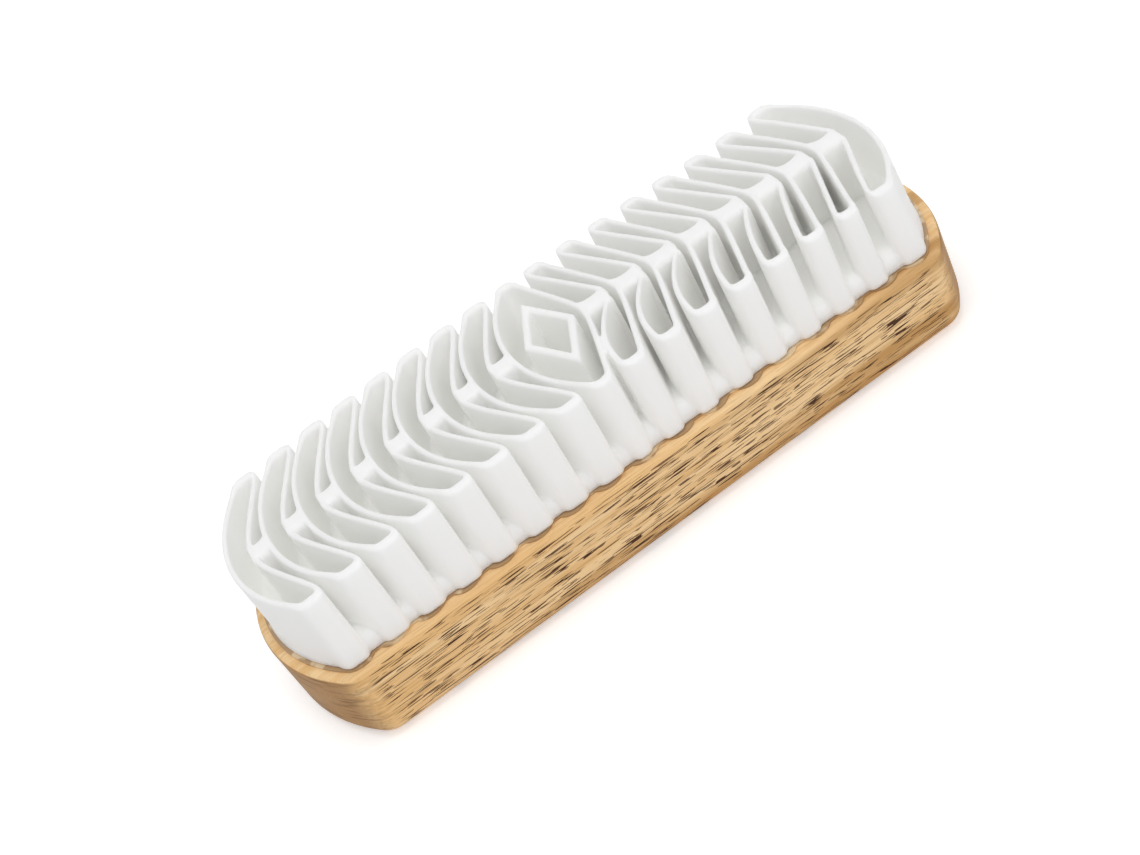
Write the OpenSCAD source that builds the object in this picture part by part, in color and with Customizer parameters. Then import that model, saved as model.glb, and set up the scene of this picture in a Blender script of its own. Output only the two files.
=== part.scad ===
// Suede brush: a wooden block with a moulded rubber pad of standing hollow cells.
// X runs along the block, Y across it, Z up through the rubber; millimetres.
// The origin is the middle of the block's flat underside.

/* [Wooden block] */
// Length of the block from end to end
block_l = 130; // [110:1:160]
// Width of the block
block_w = 45.2; // [38:0.2:56]
// Thickness of the block
block_h = 14.4; // [10:0.2:20]
// Radius of the curved ends seen from above
end_r = 33; // [30:0.5:45]
// Radius of the rounded lower edge
low_r = 3; // [1:0.25:4]
// Radius of the eased upper edge
top_r = 0.8; // [0.3:0.1:1.5]

/* [Adhesive] */
// Thickness of the adhesive film under the rubber
film_t = 0.3; // [0.2:0.05:0.6]
// How far the film shows past the foot of the rubber
film_out = 0.25; // [0.1:0.05:0.4]

/* [Rubber pad] */
// Height of the rubber above the wood at mid length
pad_h = 16.2; // [12:0.2:20]
// How much lower the rubber is at the two end cells
crown = 1.5; // [0:0.1:2.5]
// Thickness of the solid foot that joins the cells
foot_t = 3.4; // [2:0.1:5]
// How far the foot stands out past each cell
foot_out = 0.6; // [0.3:0.05:0.9]
// Distance from one cell to the next
pitch = 6.7; // [6.4:0.05:7.2]
// Thickness of the cell walls
wall = 1.2; // [0.9:0.05:1.4]
// Half the length of a cell's hollow across the block
hollow_y = 19; // [16:0.25:20]
// Radius of the rounded ends of a hollow
tip_r = 1.3; // [1:0.05:1.5]
// Radius of a hollow's curved side
bow_r = 34; // [30:0.5:40]
// How far the curved side swings out from the cell's end
bow = 6.7; // [5.8:0.1:7.5]
// How far the bent side's crease swings out
kink = 4.6; // [4:0.1:5]
// Half the length of the blunt crease and of the bridge behind it
kink_y = 2; // [1.5:0.1:3]
// Extra swing of the outermost side of the two end cells
end_bow = 1.1; // [0.5:0.1:1.6]
// Radius of the outermost side of the two end cells
end_bow_r = 28; // [26:0.5:34]

/* [Centre] */
// How far the sides of the centre cell's hollow swing out
mid_bow = 7; // [6.5:0.1:7.4]
// Half the width of the diamond's hollow along the block
dia_x = 3.4; // [3:0.1:3.8]
// Half the length of the diamond's hollow across the block
dia_y = 8.1; // [6:0.1:9]
// Thickness of the diamond's wall
dia_wall = 1.4; // [1:0.05:1.6]

/* [Hidden] */
half_l = block_l / 2;
half_w = block_w / 2;
film_z = block_h;
foot_z = block_h + film_t;
cell_z = block_h + foot_t;
tip_y = hollow_y - tip_r;
cells_a_side = 8;
// Radius that lets both bowed sides of the centre cell meet its rounded ends smoothly.
mid_r = (mid_bow * mid_bow + tip_y * tip_y - tip_r * tip_r) / (2 * (mid_bow - tip_r));
// How much longer the diamond is, corner to corner, once its wall is added.
dia_grow = dia_wall * sqrt(dia_x * dia_x + dia_y * dia_y) / (dia_x * dia_y);
wood = [0.84, 0.66, 0.42];
rubber = [0.93, 0.93, 0.92];
glue = [0.8, 0.72, 0.55];
$fn = 96;

// Height of the cell that stands n places from the middle: the top follows a shallow crown.
function cell_h(n) = pad_h - crown * (n / cells_a_side) * (n / cells_a_side) - foot_t;

// Place along X of a cell's rounded end, so that the bowed side runs into it smoothly.
function tip_x(r, b) = r - b - sqrt((r - tip_r) * (r - tip_r) - tip_y * tip_y);

// Angle of the straight flank between the crease and the rounded end, from the Y axis.
function flank_a(r, b) =
    atan2(tip_x(r, b) + kink, tip_y - kink_y)
    + asin(tip_r / norm([tip_x(r, b) + kink, tip_y - kink_y]));

// A bent cell seen from above, grown by g past the outline of its hollow.
// The bowed side is on -X, the creased side on +X.
module bent_outline(g, r, b) {
    cx = r - b;
    tx = tip_x(r, b);
    a = flank_a(r, b);
    far_x = cx + (tx - cx) * 1.3;
    far_y = tip_y * 1.3;
    ky = kink_y - g * tan(a / 2);
    sx = tx + (tip_r + g) * cos(a);
    sy = tip_y - (tip_r + g) * sin(a);
    intersection() {
        translate([cx, 0])
            circle(r = r + g);
        polygon([
            [-kink + g, -ky],
            [-kink + g, ky],
            [sx, sy],
            [tx, tip_y],
            [far_x, far_y],
            [-4 * pitch, far_y],
            [-4 * pitch, -far_y],
            [far_x, -far_y],
            [tx, -tip_y],
            [sx, -sy]
        ]);
    }
    translate([tx, tip_y])
        circle(r = tip_r + g);
    translate([tx, -tip_y])
        circle(r = tip_r + g);
}

// The centre cell seen from above: both of its sides are bowed.
module mid_outline(g) {
    cx = mid_r - mid_bow;
    intersection() {
        translate([cx, 0])
            circle(r = mid_r + g);
        translate([-cx, 0])
            circle(r = mid_r + g);
        square([4 * pitch, 2 * tip_y], center = true);
    }
    translate([0, tip_y])
        circle(r = tip_r + g);
    translate([0, -tip_y])
        circle(r = tip_r + g);
}

// The outline of the cell n places from the middle, in its own place along the block.
module outline_at(n, g) {
    if (n == 0) {
        mid_outline(g);
    }
    if (n != 0) {
        translate([n * pitch, 0])
            mirror([n > 0 ? 1 : 0, 0])
                bent_outline(
                    g,
                    abs(n) == cells_a_side ? end_bow_r : bow_r,
                    abs(n) == cells_a_side ? bow + end_bow : bow
                );
    }
}

// The blunt rubber bridge between a cell's crease and the next cell towards the middle.
// Here m is the number of places from the middle, on the -X side.
module bridge_at(m) {
    difference() {
        translate([-m * pitch - kink + wall / 2, -kink_y])
            square([kink - wall / 2, 2 * kink_y]);
        outline_at(1 - m, wall);
    }
}

// One standing hollow cell on the -X side with its bridge, m places from the middle.
module left_cell(m) {
    translate([0, 0, cell_z])
        linear_extrude(height = cell_h(m))
            difference() {
                union() {
                    outline_at(-m, wall);
                    if (m > 0) {
                        bridge_at(m);
                    }
                }
                outline_at(-m, 0);
            }
}

// One cell n places from the middle; those on the +X side are mirror images.
module rubber_cell(n) {
    mirror([n > 0 ? 1 : 0, 0, 0])
        left_cell(abs(n));
}

// The scalloped outline shared by the foot and the film: one lobe for each cell.
module foot_outline(g) {
    for (n = [-cells_a_side : cells_a_side])
        outline_at(n, wall + foot_out + g);
    square([2 * cells_a_side * pitch, 2 * (hollow_y + foot_out + g)], center = true);
}

// Cross-section of the block: rounded below, eased above.
module block_section(w, h) {
    translate([-w / 2 + low_r, 0])
        square([w - 2 * low_r, h]);
    translate([-w / 2, low_r])
        square([w, h - low_r - top_r]);
    translate([-w / 2 + top_r, low_r])
        square([w - 2 * top_r, h - low_r]);
    for (s = [-1, 1])
        translate([s * (w / 2 - low_r), low_r])
            circle(r = low_r);
    for (s = [-1, 1])
        translate([s * (w / 2 - top_r), h - top_r])
            circle(r = top_r);
}

// A round plate with the block's edge all the way round.
module round_plate() {
    rotate_extrude()
        intersection() {
            block_section(2 * end_r, block_h);
            square([end_r, block_h]);
        }
}

// Everything that lies inside the curved end on one side, s being 1 or -1.
module end_limit(s) {
    translate([s * (half_l - end_r), 0, 0])
        round_plate();
    translate([s > 0 ? -block_l : end_r - half_l, -block_w, 0])
        cube([block_l + half_l - end_r, 2 * block_w, block_h]);
}

// The wooden block.
module handle_block() {
    color(wood)
        intersection() {
            translate([-half_l, 0, 0])
                rotate([90, 0, 90])
                    linear_extrude(height = block_l)
                        block_section(block_w, block_h);
            end_limit(1);
            end_limit(-1);
        }
}

// The thin film that holds the rubber to the wood.
module adhesive_film() {
    color(glue)
        translate([0, 0, film_z])
            linear_extrude(height = film_t)
                foot_outline(film_out);
}

// The solid foot under all the cells.
module rubber_foot() {
    color(rubber)
        translate([0, 0, foot_z])
            linear_extrude(height = cell_z - foot_z)
                foot_outline(0);
}

// The seventeen hollow cells, from -X to +X.
module cell_01() { color(rubber) rubber_cell(-8); }
module cell_02() { color(rubber) rubber_cell(-7); }
module cell_03() { color(rubber) rubber_cell(-6); }
module cell_04() { color(rubber) rubber_cell(-5); }
module cell_05() { color(rubber) rubber_cell(-4); }
module cell_06() { color(rubber) rubber_cell(-3); }
module cell_07() { color(rubber) rubber_cell(-2); }
module cell_08() { color(rubber) rubber_cell(-1); }
module cell_09() { color(rubber) rubber_cell(0); }
module cell_10() { color(rubber) rubber_cell(1); }
module cell_11() { color(rubber) rubber_cell(2); }
module cell_12() { color(rubber) rubber_cell(3); }
module cell_13() { color(rubber) rubber_cell(4); }
module cell_14() { color(rubber) rubber_cell(5); }
module cell_15() { color(rubber) rubber_cell(6); }
module cell_16() { color(rubber) rubber_cell(7); }
module cell_17() { color(rubber) rubber_cell(8); }

// The diamond-shaped tube that stands alone inside the centre cell.
module centre_diamond() {
    color(rubber)
        translate([0, 0, cell_z])
            linear_extrude(height = cell_h(0))
                difference() {
                    scale(1 + dia_grow)
                        polygon([[dia_x, 0], [0, dia_y], [-dia_x, 0], [0, -dia_y]]);
                    polygon([[dia_x, 0], [0, dia_y], [-dia_x, 0], [0, -dia_y]]);
                }
}

handle_block();
adhesive_film();
rubber_foot();
cell_01();
cell_02();
cell_03();
cell_04();
cell_05();
cell_06();
cell_07();
cell_08();
cell_09();
cell_10();
cell_11();
cell_12();
cell_13();
cell_14();
cell_15();
cell_16();
cell_17();
centre_diamond();
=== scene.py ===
"""Looks of a suede brush: a beech block with a white moulded rubber pad of standing hollow cells.

Every length is in millimetres where no other unit is named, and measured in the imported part's frame:
X along the block, Y across it, Z up, origin in the middle of the block's flat underside. Meshes are
written in metres when they are handed to Blender.
"""

import logging
import math
from dataclasses import dataclass, field
from enum import Enum
from typing import Iterable, Sequence

import bpy
import numpy as np
from mathutils import Matrix, Vector

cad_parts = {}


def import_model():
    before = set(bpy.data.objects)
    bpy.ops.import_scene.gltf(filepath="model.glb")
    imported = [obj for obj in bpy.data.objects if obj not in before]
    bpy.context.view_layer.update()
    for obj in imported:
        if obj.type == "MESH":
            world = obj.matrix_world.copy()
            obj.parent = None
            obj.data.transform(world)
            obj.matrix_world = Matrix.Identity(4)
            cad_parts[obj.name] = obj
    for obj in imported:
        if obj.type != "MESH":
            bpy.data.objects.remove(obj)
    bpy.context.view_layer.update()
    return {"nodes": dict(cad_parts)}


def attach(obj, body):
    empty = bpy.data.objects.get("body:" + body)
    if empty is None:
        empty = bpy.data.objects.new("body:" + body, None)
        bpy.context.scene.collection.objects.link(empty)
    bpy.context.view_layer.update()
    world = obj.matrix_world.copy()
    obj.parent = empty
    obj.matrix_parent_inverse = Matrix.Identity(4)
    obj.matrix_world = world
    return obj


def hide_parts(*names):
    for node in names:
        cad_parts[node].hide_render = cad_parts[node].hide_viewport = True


LOG = logging.getLogger("suede_brush")
MM = 0.001
Color = tuple[float, float, float, float]
Inputs = dict[str | int, object]


class Slot(Enum):
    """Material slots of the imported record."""

    WOOD = "wood"
    RUBBER = "rubber"


class Side(Enum):
    """Which half of the pad a cell stands in; the value is the sign of its X."""

    LEFT = -1
    MIDDLE = 0
    RIGHT = 1


# Sizes


@dataclass(frozen=True)
class BlockSizes:
    """Sizes of the wooden block.

    Attributes:
        length: Length from end to end.
        width: Width across.
        height: Thickness.
        end_r: Radius of the curved ends seen from above.
        corner_r: Rounding of the upright corners where an end meets a side.
        least_r: What is left of that rounding on outlines far inside.
        low_r: Rounding of the lower edge.
        top_r: Rounding of the upper edge.
        under_in: How far the innermost outline of the underside lies inside the flat's edge.
        top_in: The same for the first outline on the top face.
        middle_in: How far the innermost outline of the top face lies inside the block's own.
        end_grain_x: Distance from the ends within which end grain and its painted shade show.
        end_grain_ramp: Over what length it grows full.
        top_skin: Depth under the top face that still counts as top face.
        top_pores: Share of the pores and lines that shows on the top face.
    """

    length: float = 130.0
    width: float = 45.2
    height: float = 14.4
    end_r: float = 33.0
    corner_r: float = 4.5
    least_r: float = 0.4
    low_r: float = 3.0
    top_r: float = 0.8
    under_in: float = 6.0
    top_in: float = 1.5
    middle_in: float = 12.0
    end_grain_x: float = 12.0
    end_grain_ramp: float = 6.0
    top_skin: float = 0.3
    top_pores: float = 0.12


@dataclass(frozen=True)
class PadSizes:
    """Sizes of the rubber pad.

    Attributes:
        cells_a_side: Cells on each side of the centre cell.
        height: Height above the wood at mid length.
        crown: How much lower the pad is at its two end cells.
        film: Thickness of the adhesive under it.
        floor: Height of the floor of slots and hollows above the wood.
        fillet: Radius of the fillet between a hollow's wall and its floor.
        pitch: Distance from one cell to the next.
        wall: Wall thickness near the top.
        end_wall: The same round the two ends of a cell.
        draft: Extra wall thickness on each face at the foot.
        flare: How far the foot of a cell swings out.
        flare_z: Height over which that swing dies away.
        end_flare: What is added to that swing at the two ends of a cell, as a multiple of it.
        warp_x: X past which the tops are warped.
        warp_in: How far the top of the last +X cell is moved towards the middle, half way along it.
        warp_turn: How much further that goes at the near end, and less at the far end.
        warp_up: How far that top is raised half way along the cell.
        warp_tilt: How much more it is raised at the far end, and less at the near end.
        hollow_y: Half the length of a hollow across the block.
        tip_r: Radius of a hollow's rounded ends.
        bow: How far a hollow's curved side swings out.
        bow_r: Radius of that side.
        kink: How far the bent side's crease swings out.
        kink_y: Half the length of the blunt crease.
        kink_r: Half the length of the rounding where the crease turns into the flank.
        kink_hold: How far the flank beside the crease stays behind a straight line.
        turn_in: Length of the rounding where the flank turns into the hollow's end.
        turn_grow: How much longer that is for each millimetre outwards.
        end_bow: Swing of the outermost side of the end cells.
        end_bow_r: Radius of that side.
        mid_bow: Swing of the -X side of the centre cell.
        blunt_x: Where the straight flanks of a +X cell's outer side would meet.
        blunt_slope: How much such a flank comes in for each millimetre along Y.
        blunt_r: Rounding of the crest between them.
        blunt_end: Length of the rounded end of such a side.
        mid_blunt_x: The same meeting point on the +X side of the centre cell.
        mid_blunt_slope: The same slope there.
        slim_tip_r: Radius of the rounded ends of the +X cells' hollows.
        slim_tip_x: Distance of their centres from the cell's own place.
        swell: How far the near flanks of the +X cells beside the centre swing back.
        swell_y: How far past a hollow's end that reaches.
        swell_cells: Over how many cells it dies away towards the +X end.
        dia_x: Half the width of the diamond's hollow.
        dia_y: Half its length.
        dia_wall: Thickness of its wall.
        dia_r: Half the length of the rounding of its corners.
    """

    cells_a_side: int = 8
    height: float = 16.2
    crown: float = 1.5
    film: float = 0.3
    floor: float = 3.4
    fillet: float = 0.85
    pitch: float = 6.7
    wall: float = 0.95
    end_wall: float = 2.0
    draft: float = 0.05
    flare: float = 0.14
    flare_z: float = 2.2
    end_flare: float = 3.0
    warp_x: float = 40.0
    warp_in: float = 0.4
    warp_turn: float = 0.65
    warp_up: float = 0.75
    warp_tilt: float = 0.5
    hollow_y: float = 18.0
    tip_r: float = 1.45
    bow: float = 7.4
    bow_r: float = 27.8
    kink: float = 4.75
    kink_y: float = 2.0
    kink_r: float = 0.4
    kink_hold: float = 0.4
    turn_in: float = 1.0
    turn_grow: float = 1.35
    end_bow: float = 7.8
    end_bow_r: float = 28.0
    mid_bow: float = 7.0
    blunt_x: float = 6.65
    blunt_slope: float = 0.34
    blunt_r: float = 0.8
    blunt_end: float = 1.0
    mid_blunt_x: float = 6.75
    mid_blunt_slope: float = 0.31
    slim_tip_r: float = 0.95
    slim_tip_x: float = 0.2
    swell: float = 2.3
    swell_y: float = 0.6
    swell_cells: float = 4.5
    dia_x: float = 3.4
    dia_y: float = 8.1
    dia_wall: float = 1.4
    dia_r: float = 0.45

    @property
    def tip_y(self) -> float:
        """Distance of a hollow's end centre from the long axis."""
        return self.hollow_y - self.tip_r

    @property
    def last_x(self) -> float:
        """X of the last cell's place."""
        return self.cells_a_side * self.pitch


@dataclass(frozen=True)
class BridgeSizes:
    """Sizes of the blunt bridge between two cells.

    Attributes:
        root: How far it starts inside the wall at the crease, as a share of the wall.
        tongue: How far it ends inside the next cell's wall, as a share of the wall.
        over: How much wider than the crease it is on each side.
        widen: How much wider still where it meets the walls.
        dip: How far its top lies below the tops of the walls.
        sag: How much lower still half way along.
        sag_z: Height above which it sags.
        shoulder: Rounding of its upper edges.
        low: Height of its underside above the wood.
    """

    root: float = 0.35
    tongue: float = 0.5
    over: float = 0.1
    widen: float = 0.9
    dip: float = 0.02
    sag: float = 0.06
    sag_z: float = 8.0
    shoulder: float = 1.1
    low: float = 2.0


@dataclass(frozen=True)
class FootSizes:
    """Sizes of the foot under the cells.

    Attributes:
        past_end: How far it reaches past the wall of the end cells.
        past_side: How far it reaches past the ends of the hollows.
        tuck: How far its lower edge is drawn in.
        rim_z: Height where its rim starts to round over.
        rim_in: How far the rim then curves in.
        rim_up: How far it curves up.
        slant: How far the side leans in below the rim.
    """

    past_end: float = 0.55
    past_side: float = 1.75
    tuck: float = 0.25
    rim_z: float = 1.0
    rim_in: float = 2.6
    rim_up: float = 2.4
    slant: float = 0.12


# Mesh helpers


@dataclass
class MeshParts:
    """Vertices and faces gathered before they become one Blender mesh.

    Attributes:
        points: Arrays of vertices, each (n, 3), in millimetres.
        faces: Lists of vertex numbers, already offset.
        count: How many vertices are stored so far.
    """

    points: list[np.ndarray] = field(default_factory=list)
    faces: list[Sequence[int]] = field(default_factory=list)
    count: int = 0

    def add(self, points: np.ndarray, faces: Iterable[Sequence[int]]) -> None:
        """Stores one closed shell.

        Args:
            points: Vertices, (n, 3), in millimetres.
            faces: Faces as numbers into points.
        """
        self.points.append(points)
        self.faces.extend([[i + self.count for i in face] for face in faces])
        self.count += len(points)

    def build(self, name: str, material: bpy.types.Material, sharp: float = 40.0) -> bpy.types.Object:
        """Makes the Blender object, in metres, at the origin.

        Args:
            name: Name of the object and its mesh.
            material: Material of every face.
            sharp: Edges that turn by more than this many degrees are shaded sharp.

        Returns:
            The new object.
        """
        mesh = bpy.data.meshes.new(name)
        mesh.from_pydata((np.concatenate(self.points) * MM).tolist(), [], self.faces)
        mesh.update()
        mesh.shade_smooth()
        mesh.set_sharp_from_angle(angle=math.radians(sharp))
        mesh.materials.append(material)
        obj = bpy.data.objects.new(name, mesh)
        bpy.context.scene.collection.objects.link(obj)
        return obj


def loft_faces(rows: int, cols: int) -> list[list[int]]:
    """Quads between stacked closed rings.

    Vertex r * cols + c is point c of ring r. Rings run anticlockwise seen from above and rise with r,
    so the faces point outwards.

    Args:
        rows: How many rings.
        cols: How many points in a ring.

    Returns:
        The faces.
    """
    r, c = np.meshgrid(np.arange(rows - 1), np.arange(cols), indexing="ij")
    n = (c + 1) % cols
    corners = [r * cols + c, r * cols + n, (r + 1) * cols + n, (r + 1) * cols + c]
    return np.stack(corners, -1).reshape(-1, 4).tolist()


def flat_ended(rows: int, cols: int) -> list[list[int]]:
    """Quads between stacked closed rings, with one flat face over each end.

    Args:
        rows: How many rings.
        cols: How many points in a ring.

    Returns:
        The faces.
    """
    first = list(range(cols))
    return loft_faces(rows, cols) + [first[::-1], [(rows - 1) * cols + c for c in first]]


def paired_cap(first: int, cols: int, up: bool) -> list[list[int]]:
    """Closes a ring whose points pair off across it: point i with point cols - i.

    Args:
        first: Number of the ring's point 0, one of its two unpaired ends.
        cols: How many points in the ring, an even number.
        up: Whether the cap faces up.

    Returns:
        Faces: a triangle at each end and quads between.
    """
    half = cols // 2
    faces = [[0, 1, cols - 1]]
    faces += [[i, i + 1, cols - i - 1, cols - i] for i in range(1, half - 1)]
    faces += [[half - 1, half, half + 1]]
    return [[first + i for i in (f if up else f[::-1])] for f in faces]


def pair_ended(rows: int, cols: int) -> list[list[int]]:
    """Quads between stacked closed rings, with a cap of paired points over each end.

    Args:
        rows: How many rings.
        cols: How many points in a ring, an even number.

    Returns:
        The faces.
    """
    caps = paired_cap(0, cols, up=False) + paired_cap((rows - 1) * cols, cols, up=True)
    return loft_faces(rows, cols) + caps


def raise_rings(rings: np.ndarray, z: np.ndarray) -> np.ndarray:
    """Puts flat outlines at their heights.

    Args:
        rings: Outlines, (rows, n, 2).
        z: Their heights, (rows,).

    Returns:
        Vertices, (rows * n, 3).
    """
    high = np.broadcast_to(z[:, None, None], rings.shape[:2] + (1,))
    return np.concatenate([rings, high], -1).reshape(-1, 3)


def mirror_quarter(quarter: np.ndarray) -> np.ndarray:
    """Whole outlines from their first quarters, which run from the +X axis round to the +Y axis.

    Args:
        quarter: Points, (rings, n, 2), both ends on an axis.

    Returns:
        Points, (rings, 4 (n - 1), 2), anticlockwise seen from above.
    """
    upper = np.concatenate([quarter, quarter[:, ::-1][:, 1:] * (-1, 1)], 1)
    return np.concatenate([upper, upper[:, ::-1][:, 1:-1] * (1, -1)], 1)


def arc(cx: np.ndarray, cy: float, r: np.ndarray, start: np.ndarray, end: np.ndarray, n: int) -> np.ndarray:
    """Points on circular arcs, one arc for each entry of the arrays.

    Args:
        cx: Centre X.
        cy: Centre Y.
        r: Radius.
        start: First angle, radians.
        end: Last angle, radians.
        n: Points on each arc, both ends included.

    Returns:
        Points, (arcs, n, 2).
    """
    t = np.linspace(0.0, 1.0, n)[None, :]
    a = start[:, None] * (1 - t) + end[:, None] * t
    return np.stack([cx[:, None] + r[:, None] * np.cos(a), cy + r[:, None] * np.sin(a)], -1)


def straight(p: np.ndarray, q: np.ndarray, n: int) -> np.ndarray:
    """Points on straight lines from p to q, both ends included.

    Args:
        p: First ends, (lines, 2).
        q: Last ends, (lines, 2).
        n: Points on each line.

    Returns:
        Points, (lines, n, 2).
    """
    t = np.linspace(0.0, 1.0, n)[None, :, None]
    return p[:, None, :] * (1 - t) + q[:, None, :] * t


def rounded(p: np.ndarray, corner: np.ndarray, q: np.ndarray, n: int) -> np.ndarray:
    """Quadratic curves from p to q that turn at a corner.

    Args:
        p: First ends, (curves, 2).
        corner: Corners, (curves, 2).
        q: Last ends, (curves, 2).
        n: Points on each curve, both ends included.

    Returns:
        Points, (curves, n, 2).
    """
    t = np.linspace(0.0, 1.0, n)[None, :, None]
    return (1 - t) ** 2 * p[:, None] + 2 * t * (1 - t) * corner[:, None] + t**2 * q[:, None]


def bake_modifiers(piece: bpy.types.Object) -> None:
    """Replaces a piece's mesh with what its modifiers make of it.

    Args:
        piece: The piece.
    """
    bpy.context.view_layer.update()
    rough = piece.data
    piece.data = bpy.data.meshes.new_from_object(piece.evaluated_get(bpy.context.evaluated_depsgraph_get()))
    piece.modifiers.clear()
    bpy.data.meshes.remove(rough)
    piece.data.name = piece.name


def melt(piece: bpy.types.Object, voxel: float, passes: int, most: int) -> None:
    """Fuses the overlapping shells of a piece into one skin with soft inner corners, as a moulding has.

    The skin is rebuilt on a grid, relaxed, and thinned where it is flat.

    Args:
        piece: The piece, made of closed shells.
        voxel: Grid step, millimetres.
        passes: How often the skin is relaxed.
        most: How many triangles it may keep.
    """
    fuse = piece.modifiers.new("fuse", "REMESH")
    fuse.mode = "VOXEL"
    fuse.voxel_size = voxel * MM
    soften = piece.modifiers.new("soften", "SMOOTH")
    soften.factor = 0.5
    soften.iterations = passes
    bake_modifiers(piece)
    triangles = sum(len(f.vertices) - 2 for f in piece.data.polygons)
    if triangles > most:
        thin = piece.modifiers.new("thin", "DECIMATE")
        thin.ratio = most / triangles
        bake_modifiers(piece)
    piece.data.shade_smooth()
    LOG.info("%s melted from %d triangles", piece.name, triangles)


# Shader maths


@dataclass(frozen=True)
class Grain:
    """One layer of noise in a finish.

    Attributes:
        scale: Cells of the noise to a metre along X, Y and Z.
        low: Noise value where the layer sets in.
        high: Noise value where it is full.
        share: Its strength where it is full.
        detail: Octaves of the noise.
        rough: Strength of the finer octaves.
        warp: Distortion of the noise.
    """

    scale: tuple[float, float, float]
    low: float = 0.0
    high: float = 1.0
    share: float = 1.0
    detail: float = 2.0
    rough: float = 0.5
    warp: float = 0.0


class ShaderGraph:
    """The node tree of a material or of the world, with a method that makes any node."""

    def __init__(self, owner: bpy.types.Material | bpy.types.World) -> None:
        """Starts an empty tree.

        Args:
            owner: The material or world that the tree belongs to.
        """
        owner.use_nodes = True
        self.owner = owner
        self.tree = owner.node_tree
        self.tree.nodes.clear()

    def node(self, kind: str, inputs: Inputs | None = None, **settings: object) -> bpy.types.Node:
        """Makes one node.

        Args:
            kind: Blender's node type name.
            inputs: Socket name or number to a constant or a Value to link.
            settings: Properties of the node, set before its inputs.

        Returns:
            The node.
        """
        made = self.tree.nodes.new(kind)
        for key, value in settings.items():
            setattr(made, key, value)
        for key, value in (inputs or {}).items():
            self.feed(made.inputs[key], value)
        return made

    def feed(self, socket: bpy.types.NodeSocket, value: object) -> None:
        """Gives a socket a constant or a link.

        Args:
            socket: The input.
            value: A Value, an output socket or a constant.
        """
        if isinstance(value, Value):
            value = value.socket
        if isinstance(value, bpy.types.NodeSocket):
            self.tree.links.new(value, socket)
        else:
            socket.default_value = value

    def value(self, node: bpy.types.Node, output: str | int = 0) -> "Value":
        """Wraps an output for arithmetic.

        Args:
            node: The node.
            output: Name or number of its output.

        Returns:
            The wrapped output.
        """
        return Value(self, node.outputs[output])

    def mix(self, factor: object, a: object, b: object) -> "Value":
        """Blends two colours.

        Args:
            factor: 0 for a, 1 for b.
            a: First colour.
            b: Second colour.

        Returns:
            The blended colour.
        """
        return self.value(self.node("ShaderNodeMix", {0: factor, 6: a, 7: b}, data_type="RGBA"), 2)

    def noise(self, grain: Grain) -> "Value":
        """A layer's bare noise, from 0 to 1, on Object coordinates.

        Args:
            grain: The layer.

        Returns:
            The noise.
        """
        place = self.node("ShaderNodeTexCoord").outputs["Object"]
        scaled = self.node("ShaderNodeMapping", {"Vector": place, "Scale": grain.scale})
        made = self.node(
            "ShaderNodeTexNoise",
            {
                "Vector": scaled.outputs[0],
                "Scale": 1.0,
                "Detail": grain.detail,
                "Roughness": grain.rough,
                "Distortion": grain.warp,
            },
        )
        return self.value(made, "Fac")

    def layer(self, grain: Grain) -> "Value":
        """How strongly a layer shows: its noise, eased from nothing at low to its share at high.

        Args:
            grain: The layer.

        Returns:
            The strength.
        """
        return self.noise(grain).band(grain.low, grain.high) * grain.share

    def attribute(self, name: str) -> "Value":
        """A number stored on the mesh.

        Args:
            name: Name of the attribute.

        Returns:
            The number.
        """
        return self.value(self.node("ShaderNodeAttribute", attribute_name=name), "Fac")

    def straight_view(self) -> "Value":
        """Tells rays that show a thing itself, by eye or in a mirror or glass, from rays that light others.

        Returns:
            1 for the first kind and 0 for the second.
        """
        path = self.node("ShaderNodeLightPath")
        camera, glossy, through = (
            self.value(path, f"Is {kind} Ray") for kind in ("Camera", "Glossy", "Transmission")
        )
        return camera.larger(glossy.larger(through))

    def close(self, shader: bpy.types.Node, output: str = "ShaderNodeOutputMaterial") -> bpy.types.ID:
        """Ends the tree in a shader.

        Args:
            shader: The last shader node.
            output: Blender's type name of the output node.

        Returns:
            The material or world.
        """
        self.node(output, {"Surface": shader.outputs[0]}, is_active_output=True)
        return self.owner


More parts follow.
